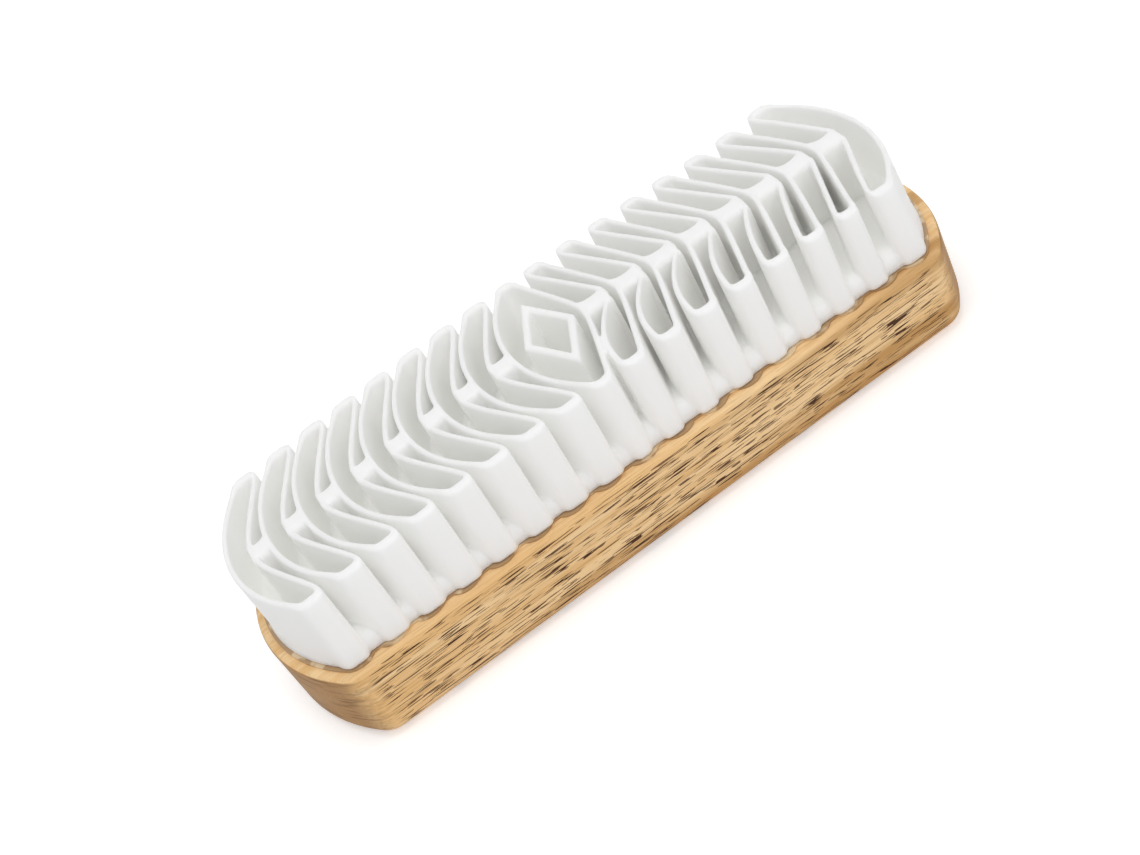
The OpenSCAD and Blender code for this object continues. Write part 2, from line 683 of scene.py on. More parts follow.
class Value:
    """A shader output that takes part in sums as a number does."""

    def __init__(self, graph: ShaderGraph, socket: bpy.types.NodeSocket) -> None:
        """Wraps a socket.

        Args:
            graph: The tree it belongs to.
            socket: The output socket.
        """
        self.graph = graph
        self.socket = socket

    def _math(self, operation: str, a: object, b: object) -> "Value":
        """One Math node.

        Args:
            operation: Blender's operation name.
            a: First input.
            b: Second input.

        Returns:
            The result.
        """
        return self.graph.value(self.graph.node("ShaderNodeMath", {0: a, 1: b}, operation=operation))

    def __add__(self, other: object) -> "Value":
        """Sum."""
        return self._math("ADD", self, other)

    def __radd__(self, other: object) -> "Value":
        """Sum with the number first."""
        return self._math("ADD", other, self)

    def __sub__(self, other: object) -> "Value":
        """Difference."""
        return self._math("SUBTRACT", self, other)

    def __rsub__(self, other: object) -> "Value":
        """Difference from a number."""
        return self._math("SUBTRACT", other, self)

    def __mul__(self, other: object) -> "Value":
        """Product."""
        return self._math("MULTIPLY", self, other)

    def __rmul__(self, other: object) -> "Value":
        """Product with the number first."""
        return self._math("MULTIPLY", other, self)

    def larger(self, other: object) -> "Value":
        """The larger of the two."""
        return self._math("MAXIMUM", self, other)

    def band(self, low: float, high: float) -> "Value":
        """Rises smoothly from 0 at low to 1 at high; falls if low is above high.

        Args:
            low: Where the result is 0.
            high: Where the result is 1.

        Returns:
            The eased step.
        """
        inputs = {"Value": self, "From Min": low, "From Max": high}
        made = self.graph.node("ShaderNodeMapRange", inputs, interpolation_type="SMOOTHSTEP")
        return self.graph.value(made)


# Finishes


@dataclass(frozen=True)
class RubberFinish:
    """White moulded rubber.

    Attributes:
        color: Base colour.
        shade: Brightness of its darkest patches, as a share of the base colour.
        roughness: Surface roughness.
        gloss: Strength of the mirror-like part of the reflection.
        milky: Share of light that scatters inside.
        depth: How far it scatters, in metres.
        patches: The patches.
        skin: The fine grain of its surface.
        skin_strength: How strongly the grain bends the light.
        skin_depth: Height of the grain, in metres.
    """

    color: Color = (0.985, 0.984, 0.968, 1.0)
    shade: float = 0.99
    roughness: float = 0.55
    gloss: float = 0.3
    milky: float = 1.0
    depth: float = 0.002
    patches: Grain = Grain((60.0, 60.0, 60.0))
    skin: Grain = Grain((900.0, 900.0, 900.0), detail=3.0)
    skin_strength: float = 0.08
    skin_depth: float = 0.0002

    def dress(self, name: str) -> bpy.types.Material:
        """Makes the material.

        Args:
            name: Name of the material.

        Returns:
            The material.
        """
        g = ShaderGraph(bpy.data.materials.new(name))
        dark = tuple(c * self.shade for c in self.color[:3]) + (1.0,)
        bump = g.node(
            "ShaderNodeBump",
            {"Height": g.noise(self.skin), "Strength": self.skin_strength, "Distance": self.skin_depth},
        )
        shader = g.node(
            "ShaderNodeBsdfPrincipled",
            {
                "Base Color": g.mix(g.noise(self.patches), dark, self.color),
                "Roughness": self.roughness,
                "Specular IOR Level": self.gloss,
                "Subsurface Weight": self.milky,
                "Subsurface Radius": (1.0, 1.0, 1.0),
                "Subsurface Scale": self.depth,
                "Normal": g.value(bump),
            },
        )
        return g.close(shader)


@dataclass(frozen=True)
class BeechFinish:
    """Sanded beech: straw-coloured bands along X with short dark pores, browner and darker on the ends,
    partly end grain and partly painted shade.

    Attributes:
        light: Palest band.
        mid: General colour.
        deep: Darkest band.
        pore: Colour of the pores.
        end: Colour of the end grain, darkened further as painted shade on the end faces.
        roughness: Surface roughness.
        gloss: Strength of the mirror-like part of the reflection.
        bands: The pale bands.
        streaks: Long darker streaks.
        fibres: Fine darker fibres.
        lines: Thin darker lines, on the sides.
        pores: Two sizes of pore, on the sides.
        pore_end: End grain share at which no pore is left.
        rings: Thin growth rings, on the ends.
        end_from: End grain share at which the ends start to turn brown and dark.
        end_grain_and_shade_share: How brown and dark they get, end grain tone plus painted shade.
        pore_strength: How strongly a pore bends the light.
        pore_depth: Depth of a pore, in metres.
    """

    light: Color = (0.93, 0.65, 0.35, 1.0)
    mid: Color = (0.83, 0.52, 0.23, 1.0)
    deep: Color = (0.56, 0.31, 0.11, 1.0)
    pore: Color = (0.07, 0.026, 0.010, 1.0)
    # Dark enough to carry painted shade on the end faces as well as end grain tone.
    end: Color = (0.36, 0.185, 0.066, 1.0)
    roughness: float = 0.6
    gloss: float = 0.2
    bands: Grain = Grain((22.0, 420.0, 420.0), 0.36, 0.62, detail=3.0, rough=0.55, warp=0.3)
    streaks: Grain = Grain((9.0, 160.0, 230.0), 0.56, 0.72, warp=0.2)
    fibres: Grain = Grain((60.0, 1500.0, 1500.0), 0.5, 0.75, 0.25, rough=0.6)
    lines: Grain = Grain((40.0, 2600.0, 2500.0), 0.54, 0.62, 0.4, detail=1.0)
    pores: tuple[Grain, Grain] = (
        Grain((165.0, 3900.0, 3700.0), 0.65, 0.668, detail=0.0),
        Grain((240.0, 4900.0, 4700.0), 0.66, 0.68, 0.8, detail=0.0),
    )
    pore_end: float = 0.3
    rings: Grain = Grain((250.0, 70.0, 2300.0), 0.52, 0.64, 0.45)
    end_from: float = 0.25
    end_grain_and_shade_share: float = 0.85
    pore_strength: float = 0.25
    pore_depth: float = 0.0001

    def dress(self, name: str) -> bpy.types.Material:
        """Makes the material.

        Args:
            name: Name of the material.

        Returns:
            The material.
        """
        g = ShaderGraph(bpy.data.materials.new(name))
        end = g.attribute("end_grain")
        side = g.attribute("side_grain")
        pores = sum(g.layer(grain) for grain in self.pores) * side * end.band(self.pore_end, 0.0)
        color = g.mix(g.layer(self.bands), self.mid, self.light)
        color = g.mix(g.layer(self.streaks), color, self.deep)
        color = g.mix(g.layer(self.fibres), color, self.deep)
        color = g.mix(g.layer(self.lines) * side, color, self.deep)
        color = g.mix(pores, color, self.pore)
        # Browns and darkens the ends: end grain tone plus painted shade on the end faces.
        color = g.mix(end.band(self.end_from, 1.0) * self.end_grain_and_shade_share, color, self.end)
        color = g.mix(g.layer(self.rings) * end, color, self.pore)
        bump = g.node(
            "ShaderNodeBump",
            {"Height": 1.0 - pores, "Strength": self.pore_strength, "Distance": self.pore_depth},
        )
        shader = g.node(
            "ShaderNodeBsdfPrincipled",
            {
                "Base Color": color,
                "Roughness": self.roughness,
                "Specular IOR Level": self.gloss,
                "Normal": g.value(bump),
            },
        )
        return g.close(shader)


@dataclass(frozen=True)
class AdhesiveAndContactShadeFinish:
    """Clear contact adhesive, coloured as a thin darker line whose darkness is partly painted shade where
    the rubber's foot meets the wood.

    Attributes:
        color: Base colour, dark partly as painted contact shade.
        pale: Colour of its clearer patches.
        patches: The patches.
        roughness: Surface roughness.
    """

    # The dark base colour stands partly for glue and partly for painted contact shade under the rubber's
    # edge.
    color: Color = (0.44, 0.28, 0.14, 1.0)
    pale: Color = (0.72, 0.56, 0.36, 1.0)
    patches: Grain = Grain((260.0, 260.0, 260.0), 0.5, 0.62)
    roughness: float = 0.25

    def dress(self, name: str) -> bpy.types.Material:
        """Makes the material.

        Args:
            name: Name of the material.

        Returns:
            The material.
        """
        g = ShaderGraph(bpy.data.materials.new(name))
        color = g.mix(g.layer(self.patches), self.color, self.pale)
        shader = g.node("ShaderNodeBsdfPrincipled", {"Base Color": color, "Roughness": self.roughness})
        return g.close(shader)


# Wooden block


@dataclass
class WoodenBlock:
    """The beech block with rounded ends.

    Attributes:
        sizes: Its sizes.
        finish: Its finish.
    """

    sizes: BlockSizes = field(default_factory=BlockSizes)
    finish: BeechFinish = field(default_factory=BeechFinish)

    def ring(self, inset: np.ndarray) -> np.ndarray:
        """Outlines of the block seen from above, each drawn in by an inset.

        A quarter runs from the middle of the +X end along the end arc, round the upright corner and
        along the side to X = 0; the other quarters are its mirror images.

        Args:
            inset: How far each outline is drawn in, (rings,).

        Returns:
            Points, (rings, n, 2), anticlockwise seen from above.
        """
        s = self.sizes
        cx = s.length / 2 - s.end_r
        big = s.end_r - inset
        edge = s.width / 2 - inset
        small = np.maximum(s.corner_r - inset, s.least_r)
        ky = edge - small
        kx = cx + np.sqrt((big - small) ** 2 - ky**2)
        turn = np.arctan2(ky, kx - cx)
        zero = np.zeros_like(inset)
        end = arc(zero + cx, 0.0, big, zero, turn, n=26)
        corner = arc(kx, 0.0, small, turn, zero + math.pi / 2, n=12)
        corner[..., 1] += ky[:, None]
        side = straight(np.stack([kx, edge], -1), np.stack([zero, edge], -1), n=34)
        return mirror_quarter(np.concatenate([end[:, :-1], corner[:, :-1], side], 1))

    def section(self) -> tuple[np.ndarray, np.ndarray]:
        """The block's section: flat underside, quarter circle, upright side, quarter circle, top face.

        Returns:
            How far each outline is drawn in and its height, (rings,) each.
        """
        s = self.sizes
        low = np.linspace(-math.pi / 2, 0, 11)
        side = np.linspace(s.low_r, s.height - s.top_r, 9)[1:-1]
        top = np.linspace(0, math.pi / 2, 7)
        inset = [[s.low_r + s.under_in], s.low_r * (1 - np.cos(low)), np.zeros_like(side)]
        inset += [s.top_r * (1 - np.cos(top)), [s.top_r + s.top_in, s.middle_in]]
        z = [[0.0], s.low_r * (1 + np.sin(low)), side]
        z += [s.height - s.top_r * (1 - np.sin(top)), [s.height, s.height]]
        return np.concatenate(inset), np.concatenate(z)

    def build(self) -> bpy.types.Object:
        """Makes the block: its outlines rise from the flat underside, up the side and over the top.

        Returns:
            The block.
        """
        inset, z = self.section()
        rings = self.ring(inset)
        points = raise_rings(rings, z)
        parts = MeshParts()
        parts.add(points, flat_ended(*rings.shape[:2]))
        block = parts.build("wood_block", self.finish.dress("beech"), sharp=50.0)
        self.mark_grain(block, points)
        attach(block, "root")
        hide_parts("handle_block")
        return block

    def mark_grain(self, block: bpy.types.Object, points: np.ndarray) -> None:
        """Stores where the end grain and the side grain show.

        End grain, which also carries the ends' painted shade, grows towards the two ends; side grain covers
        all but the top face.

        Args:
            block: The block.
            points: Its vertices in millimetres.
        """
        s = self.sizes
        below = points[:, 2] < s.height - s.top_skin
        past = np.abs(points[:, 0]) - (s.length / 2 - s.end_grain_x)
        end = np.clip(past / s.end_grain_ramp, 0, 1) * below
        side = np.where(below, 1.0, s.top_pores)
        for label, values in (("end_grain", end), ("side_grain", side)):
            layer = block.data.attributes.new(label, "FLOAT", "POINT")
            layer.data.foreach_set("value", values.astype(np.float32))


# Rubber pad


@dataclass
class CellOutline:
    """The outline of one cell seen from above, at any distance from the outline of its hollow.

    Attributes:
        pad: Sizes of the pad.
        place: Number of places from the middle, negative on the -X side.
    """

    pad: PadSizes
    place: int

    @property
    def side(self) -> Side:
        """Which half of the pad the cell stands in."""
        return Side((self.place > 0) - (self.place < 0))

    @property
    def slim(self) -> bool:
        """Whether the cell has the slimmer outline of the +X half."""
        return self.side is Side.RIGHT and self.place < self.pad.cells_a_side

    @property
    def bow(self) -> tuple[float, float]:
        """Swing and radius of the curved side."""
        p = self.pad
        if self.side is Side.MIDDLE:
            r = (p.mid_bow**2 + p.tip_y**2 - p.tip_r**2) / (2 * (p.mid_bow - p.tip_r))
            return p.mid_bow, r
        if abs(self.place) == p.cells_a_side:
            return p.end_bow, p.end_bow_r
        return p.bow, p.bow_r

    @property
    def tip_r(self) -> float:
        """Radius of the hollow's rounded ends."""
        return self.pad.slim_tip_r if self.slim else self.pad.tip_r

    @property
    def tip_x(self) -> float:
        """X of the rounded end's centre, from the cell's own place."""
        p = self.pad
        if self.side is Side.MIDDLE:
            return 0.0
        if self.slim:
            return p.slim_tip_x
        swing, r = self.bow
        return r - swing - math.sqrt((r - p.tip_r) ** 2 - p.tip_y**2)

    def bowed_half(self, grow: np.ndarray) -> np.ndarray:
        """Upper half of the curved side, from y = 0 round to the top of the rounded end.

        It is one long arc that runs on into the smaller arc of the end. A slim cell's is blunt instead.

        Args:
            grow: Distance outwards from the hollow, (rings,).

        Returns:
            Points, (rings, n, 2), on -X.
        """
        p = self.pad
        if self.slim:
            return self.blunt_half(grow, p.blunt_x, p.blunt_slope)
        swing, r = self.bow
        cx = r - swing
        tx = self.tip_x
        meet = math.atan2(p.tip_y, tx - cx)
        zero = np.zeros_like(grow)
        long_arc = arc(zero + cx, 0.0, r + grow, zero + math.pi, zero + meet, n=26)
        cap = arc(zero + tx, p.tip_y, p.tip_r + grow, zero + meet, zero + math.pi / 2, n=10)
        return np.concatenate([long_arc[:, :-1], cap], 1)

    def blunt_half(self, grow: np.ndarray, reach: float, slope: float) -> np.ndarray:
        """Upper half of a blunt side, from y = 0 round to the top of the rounded end.

        The side is x = -(reach - sqrt(blunt_r^2 + (slope y)^2)): straight flanks with a rounded crest.

        Args:
            grow: Distance outwards from the hollow, (rings,).
            reach: Where the two flanks' straight lines would meet.
            slope: How much a flank comes in for each millimetre along Y.

        Returns:
            Points, (rings, n, 2), on -X, as many as the bowed half has.
        """
        p = self.pad
        y = np.linspace(0.0, p.hollow_y - p.blunt_end, 26)
        root = np.sqrt(p.blunt_r**2 + (slope * y) ** 2)
        lean = slope**2 * y / root
        across = np.stack([-np.ones_like(lean), lean], -1) / np.hypot(1.0, lean)[:, None]
        side = np.stack([root - reach, y], -1)[None] + grow[:, None, None] * across[None]
        last = side[:, -1]
        top = p.hollow_y + grow
        corner = last + np.stack([lean[-1] * (top - last[:, 1]), top - last[:, 1]], -1)
        cap = rounded(last, corner, np.stack([np.zeros_like(grow) + self.tip_x, top], -1), n=10)
        return np.concatenate([side[:, :-1], cap], 1)

    def creased_half(self, grow: np.ndarray) -> np.ndarray:
        """Upper half of the bent side, from y = 0 along the blunt crease and the flank to the end's top.

        The flank is straight. In the -X half it stays behind that line by kink_hold times
        27/4 t (1 - t)^2, which is 1 at most, where t runs from 0 at the crease to 1 at the end.

        Args:
            grow: Distance outwards from the hollow, (rings,).

        Returns:
            Points, (rings, n, 2), as many as the bowed half has.
        """
        p = self.pad
        dx = self.tip_x + p.kink
        dy = p.tip_y - p.kink_y
        lean = math.atan2(dx, dy) + math.asin(self.tip_r / math.hypot(dx, dy))
        zero = np.zeros_like(grow)
        corner = np.stack([grow - p.kink, p.kink_y - grow * math.tan(lean / 2)], -1)
        run = np.array([math.sin(lean), math.cos(lean)])
        start = np.stack([grow - p.kink, zero], -1)
        before = corner - np.array([0.0, p.kink_r])
        after = corner + run * p.kink_r
        end_y = p.hollow_y + grow
        square = corner + run * ((end_y - corner[:, 1]) / run[1])[:, None]
        turn_in = p.turn_in + p.turn_grow * grow
        leave = square - run * turn_in[:, None]
        land = square - np.stack([turn_in, zero], -1)
        flat = straight(start, before, n=6)
        bend = rounded(before, corner, after, n=7)
        flank = straight(after, leave, n=13)
        if self.side is Side.LEFT:
            t = np.linspace(0.0, 1.0, flank.shape[1])
            flank[..., 0] -= p.kink_hold * 27 / 4 * t * (1 - t) ** 2
        nose = rounded(leave, square, land, n=8)
        last = straight(land, np.stack([zero + self.tip_x, end_y], -1), n=5)
        return np.concatenate([flat[:, :-1], bend[:, :-1], flank[:, :-1], nose[:, :-1], last], 1)

    def swell(self, ring: np.ndarray) -> np.ndarray:
        """Lets the near half of a slim cell's bent flank swing back towards the middle.

        The move along X is size * sin(pi |y| / (hollow_y + swell_y)) and is nil past that. The size is
        full beside the centre cell and dies away towards the last cell.

        Args:
            ring: The bent side of the outlines, (rings, n, 2), before it is mirrored to the +X half.

        Returns:
            The moved points.
        """
        p = self.pad
        if not self.slim:
            return ring
        size = p.swell * min(1.0, (p.cells_a_side - 1 - self.place) / p.swell_cells)
        near = np.clip(-ring[..., 1] / (p.hollow_y + p.swell_y), 0, 1)
        return ring + np.stack([size * np.sin(math.pi * near), np.zeros_like(near)], -1)

    def thicken_ends(self, ring: np.ndarray, grow: np.ndarray) -> np.ndarray:
        """Makes the wall thicker round the two ends, and lets the foot reach further out there.

        Past the end's centre the outer face moves out along Y, in step with its distance from that
        centre; the hollow stays as it is.

        Args:
            ring: Outlines, (rings, n, 2), from the cell's own place.
            grow: Distance of each outwards from the hollow, (rings,).

        Returns:
            The moved outlines.
        """
        p = self.pad
        share = (p.end_wall - p.wall) * np.clip(grow / p.wall, 0, 1)[:, None]
        foot = np.clip(grow - p.wall, 0, None)[:, None] * p.end_flare
        x, y = ring[..., 0], ring[..., 1]
        out = np.sign(y) * np.clip((np.abs(y) - p.tip_y) / (p.tip_r + p.wall), 0, 1) * (share + foot)
        return np.stack([x, y + out], -1)

    def ring(self, grow: np.ndarray) -> np.ndarray:
        """Whole outlines, at the cell's place along the block.

        Point 0 is the +Y end, half of the points run down the -X side to the -Y end, the rest run up
        the other side, so point i pairs with point n - i across the cell. In the +X half the same
        outline is mirrored.

        Args:
            grow: Distance outwards from the hollow, (rings,).

        Returns:
            Points, (rings, n, 2), anticlockwise seen from above.
        """
        p = self.pad
        left = self.bowed_half(grow)
        if self.side is Side.MIDDLE:
            right = self.blunt_half(grow, p.mid_blunt_x, p.mid_blunt_slope) * (-1, 1)
        else:
            right = self.creased_half(grow)
        down = np.concatenate([left[:, ::-1], left[:, 1:] * (1, -1)], 1)
        up = self.swell(np.concatenate([right[:, ::-1] * (1, -1), right[:, 1:]], 1))
        ring = self.thicken_ends(np.concatenate([down[:, :-1], up[:, :-1]], 1), grow)
        if self.side is Side.RIGHT:
            mirrored = ring * (-1, 1)
            ring = np.concatenate([mirrored[:, :1], mirrored[:, 1:][:, ::-1]], 1)
        return ring + (self.place * p.pitch, 0.0)


@dataclass
class RubberPad:
    """The rubber moulding: foot, seventeen hollow cells with their bridges, and the centre diamond.

    Attributes:
        base: Height of the wood under it.
        pad: Its sizes.
        bridges: Sizes of its bridges.
        rim: Sizes of its foot.
        grid: Step of the grid on which the moulding's skin is rebuilt.
        passes: How often that skin is relaxed.
        most: How many triangles it may keep.
        finish: Its finish.
    """

    base: float
    pad: PadSizes = field(default_factory=PadSizes)
    bridges: BridgeSizes = field(default_factory=BridgeSizes)
    rim: FootSizes = field(default_factory=FootSizes)
    grid: float = 0.23
    passes: int = 4
    most: int = 190_000
    finish: RubberFinish = field(default_factory=RubberFinish)

    def shape(self, points: np.ndarray) -> np.ndarray:
        """Gives points above the wood the pad's crown and warp.

        Heights above the floor shrink with the square of X. Past warp_x the tops move with the square
        of the distance from there: towards the middle on the near side, up on the far side. No point
        goes higher than the pad.

        Args:
            points: Points, (n, 3), Z measured from the wood.

        Returns:
            The same points in the part's frame.
        """
        p = self.pad
        x, y, z = points.T
        rise = np.clip((z - p.floor) / (p.height - p.floor), 0, None)
        z = z - p.crown * (x / p.last_x) ** 2 * rise
        late = np.clip((x - p.warp_x) / (p.last_x - p.warp_x), 0, 1) ** 2 * rise
        far = np.clip(y / p.hollow_y, -1, 1)
        x = x + (p.warp_turn * far - p.warp_in) * late
        z = z + (p.warp_tilt * far + p.warp_up) * late
        return np.stack([x, y, np.minimum(z, p.height) + self.base], -1)

    def wall_rows(self, wall: float) -> tuple[np.ndarray, np.ndarray]:
        """The section of a standing wall, from its outer foot over the rounded top to the floor inside.

        Outside, the wall swings out towards the foot by flare * exp(-(z / flare_z)^2) and its lowest
        edge is tucked in; both faces thin towards the top, which is a flattened half circle.

        Args:
            wall: Thickness at the top.

        Returns:
            Distance outwards from the hollow and height above the wood, (rows,) each.
        """
        p = self.pad
        top_r = wall / 2
        top_power = 0.8
        edge_z = p.film + np.array([0.0, 0.12, 0.35])
        tuck = np.array([0.22, 0.07, 0.0])
        low_z = np.linspace(1.0, 4.2, 9)
        high_z = np.linspace(5.2, p.height - top_r, 8)
        z_out = np.concatenate([edge_z, low_z, high_z])
        g_out = wall + p.draft * (1 - z_out / p.height) + p.flare * np.exp(-((z_out / p.flare_z) ** 2))
        g_out[: len(tuck)] -= tuck
        turn = np.linspace(0, math.pi, 13)[1:-1]
        g_top = top_r + top_r * np.cos(turn)
        z_top = p.height - top_r + top_r * np.sin(turn) ** top_power
        z_in = np.linspace(p.height - top_r, p.floor + p.fillet, 9)
        g_in = -p.draft * (1 - z_in / p.height)
        bend = np.linspace(0, math.pi / 2, 6)[1:]
        g_floor = g_in[-1] - p.fillet * (1 - np.cos(bend))
        z_floor = p.floor + p.fillet * (1 - np.sin(bend))
        return np.concatenate([g_out, g_top, g_in, g_floor]), np.concatenate([z_out, z_top, z_in, z_floor])

    def add_stack(self, parts: MeshParts, rings: np.ndarray, z: np.ndarray) -> None:
        """Adds a closed shell whose first outline faces down and last outline faces up.

        Args:
            parts: Where the shell goes.
            rings: Outlines whose points pair off across them, (rows, n, 2).
            z: Their heights above the wood.
        """
        parts.add(self.shape(raise_rings(rings, z)), pair_ended(*rings.shape[:2]))

    def neighbour_reach(self, place: int) -> float:
        """How far the next cell towards the middle swings out towards a cell.

        Args:
            place: The cell's place, not 0.

        Returns:
            The distance from the next cell's own place.
        """
        p = self.pad
        if place > 0:
            return p.blunt_x - p.blunt_r
        return p.mid_bow if place == -1 else p.bow

    def add_bridge(self, parts: MeshParts, place: int) -> None:
        """Adds the blunt bridge between a cell's crease and the next cell towards the middle.

        A bar along X whose section across Y has rounded shoulders. Its half width grows with the cube
        of the distance from its middle, and its top sags with the square.

        Args:
            parts: Where the shell goes.
            place: The cell's place, not 0.
        """
        p, b = self.pad, self.bridges
        stop = p.pitch - self.neighbour_reach(place) - b.tongue * p.wall
        x = np.linspace(b.root * p.wall - p.kink, stop, 13)
        t = np.linspace(-1.0, 1.0, len(x))
        half = p.kink_y + b.over + b.widen * np.abs(t) ** 3
        sag = b.dip + b.sag * (1 - t**2)
        turn = np.linspace(0, math.pi / 2, 8)
        upright = np.linspace(b.low, p.height - b.shoulder, 5)[:-1]
        inward = np.concatenate([np.zeros_like(upright), b.shoulder * (1 - np.cos(turn))])
        z_side = np.concatenate([upright, p.height - b.shoulder + b.shoulder * np.sin(turn)])
        flat = np.linspace(1, -1, 9)[1:-1]
        y_side = half[:, None] - inward
        z_side = z_side - sag[:, None] * (z_side > b.sag_z)
        y_top = (half - b.shoulder)[:, None] * flat
        z_top = np.broadcast_to((p.height - sag)[:, None], y_top.shape)
        y = np.concatenate([y_side, y_top, -y_side[:, ::-1]], 1)
        z = np.concatenate([z_side, z_top, z_side[:, ::-1]], 1)
        points = np.stack([np.broadcast_to(x[:, None], y.shape), y, z], -1)
        if place > 0:
            points = points[::-1] * (-1, 1, 1)
        points = points.reshape(-1, 3) + (place * p.pitch, 0, 0)
        parts.add(self.shape(points), flat_ended(*y.shape))

    def add_cell(self, parts: MeshParts, place: int) -> str:
        """Adds one hollow cell with its bridge.

        Args:
            parts: Where its shells go.
            place: Number of places from the middle, negative on the -X side.

        Returns:
            The CAD node that it stands for.
        """
        grow, z = self.wall_rows(self.pad.wall)
        self.add_stack(parts, CellOutline(self.pad, place).ring(grow), z)
        if place:
            self.add_bridge(parts, place)
        return f"cell_{place + self.pad.cells_a_side + 1:02d}"

    def add_foot(self, parts: MeshParts) -> str:
        """Adds the web that fills between the cells at the floor of the slots, with a rounded rim.

        Its outline is straight along the sides and follows the end cells' curved sides. Its section is
        a low side, tucked in at the bottom, and a quarter of an ellipse above it.

        Args:
            parts: Where its shell goes.

        Returns:
            The CAD node that it stands for.
        """
        p, f = self.pad, self.rim
        turn = np.linspace(0, math.pi / 2, 8)
        low_in = [f.tuck, 0.0, f.slant / 3]
        low_z = [p.film, p.film + 0.2, 0.7]
        inset = np.concatenate([low_in, f.slant + f.rim_in * (1 - np.cos(turn))])
        z = np.concatenate([low_z, f.rim_z + f.rim_up * np.sin(turn)])
        r = p.end_bow_r + p.wall + f.past_end - inset
        side = p.hollow_y + f.past_side - inset
        zero = np.zeros_like(inset)
        end = arc(zero + p.last_x + p.end_bow - p.end_bow_r, 0.0, r, zero, np.arcsin(side / r), n=30)
        along = straight(np.stack([end[:, -1, 0], side], -1), np.stack([zero, side], -1), n=40)
        self.add_stack(parts, mirror_quarter(np.concatenate([end[:, :-1], along], 1)), z)
        return "rubber_foot"

    def diamond(self, material: bpy.types.Material) -> bpy.types.Object:
        """The diamond tube: rhombic outlines with slightly rounded corners.

        An outline at a distance from the hollow is the hollow's own, scaled so that its straight
        sides lie at that distance.

        Args:
            material: The rubber.

        Returns:
            The tube.
        """
        p = self.pad
        grow, z = self.wall_rows(p.dia_wall)
        scale = 1 + grow * math.hypot(p.dia_x, p.dia_y) / (p.dia_x * p.dia_y)
        zero = np.zeros_like(grow)
        north = np.stack([zero, p.dia_y * scale], -1)
        west = np.stack([-p.dia_x * scale, zero], -1)
        step = (west - north) / np.hypot(p.dia_x * scale, p.dia_y * scale)[:, None] * p.dia_r
        top = rounded(north + step * (-1, 1), north, north + step, n=7)[:, 3:]
        side = straight(north + step, west - step, n=14)
        corner = rounded(west - step, west, (west - step) * (1, -1), n=7)[:, :4]
        quarter = np.concatenate([top[:, :-1], side[:, :-1], corner], 1)
        down = np.concatenate([quarter, quarter[:, ::-1][:, 1:] * (1, -1)], 1)
        up = down[:, ::-1][:, 1:-1] * (-1, 1)
        parts = MeshParts()
        self.add_stack(parts, np.concatenate([down, up], 1), z)
        return self.attach(parts.build("rubber_diamond", material), "centre_diamond")

    def attach(self, piece: bpy.types.Object, *nodes: str) -> bpy.types.Object:
        """Attaches a piece to the root body and hides the CAD nodes that it stands for.

        Args:
            piece: The piece.
            nodes: The CAD nodes it stands for.

        Returns:
            The piece.
        """
        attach(piece, "root")
        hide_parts(*nodes)
        return piece

    def build(self) -> list[bpy.types.Object]:
        """Makes the moulding, its cells melted together with their foot, and the diamond inside it.

        Returns:
            The pieces.
        """
        material = self.finish.dress("white_rubber")
        n = self.pad.cells_a_side
        parts = MeshParts()
        nodes = [self.add_foot(parts)] + [self.add_cell(parts, place) for place in range(-n, n + 1)]
        moulding = parts.build("rubber_moulding", material)
        melt(moulding, self.grid, self.passes, self.most)
        return [self.attach(moulding, *nodes), self.diamond(material)]


# Studio


@dataclass(frozen=True)
class Softbox:
    """A square lamp.

    Attributes:
        name: Its name.
        at: Where it stands, in metres.
        size: Side of the square, in metres.
        power: Watts.
    """

    name: str
    at: tuple[float, float, float]
    size: float
    power: float

    def light(self, aim: Vector) -> bpy.types.Object:
        """Makes the lamp.

        Args:
            aim: The point that it faces, in metres.

        Returns:
            The lamp.
        """
        data = bpy.data.lights.new(self.name, "AREA")
        data.shape = "SQUARE"
        data.size = self.size
        data.energy = self.power
        lamp = bpy.data.objects.new(self.name, data)
        lamp.location = Vector(self.at)
        lamp.rotation_euler = (aim - lamp.location).to_track_quat("-Z", "Y").to_euler()
        bpy.context.scene.collection.objects.link(lamp)
        return lamp


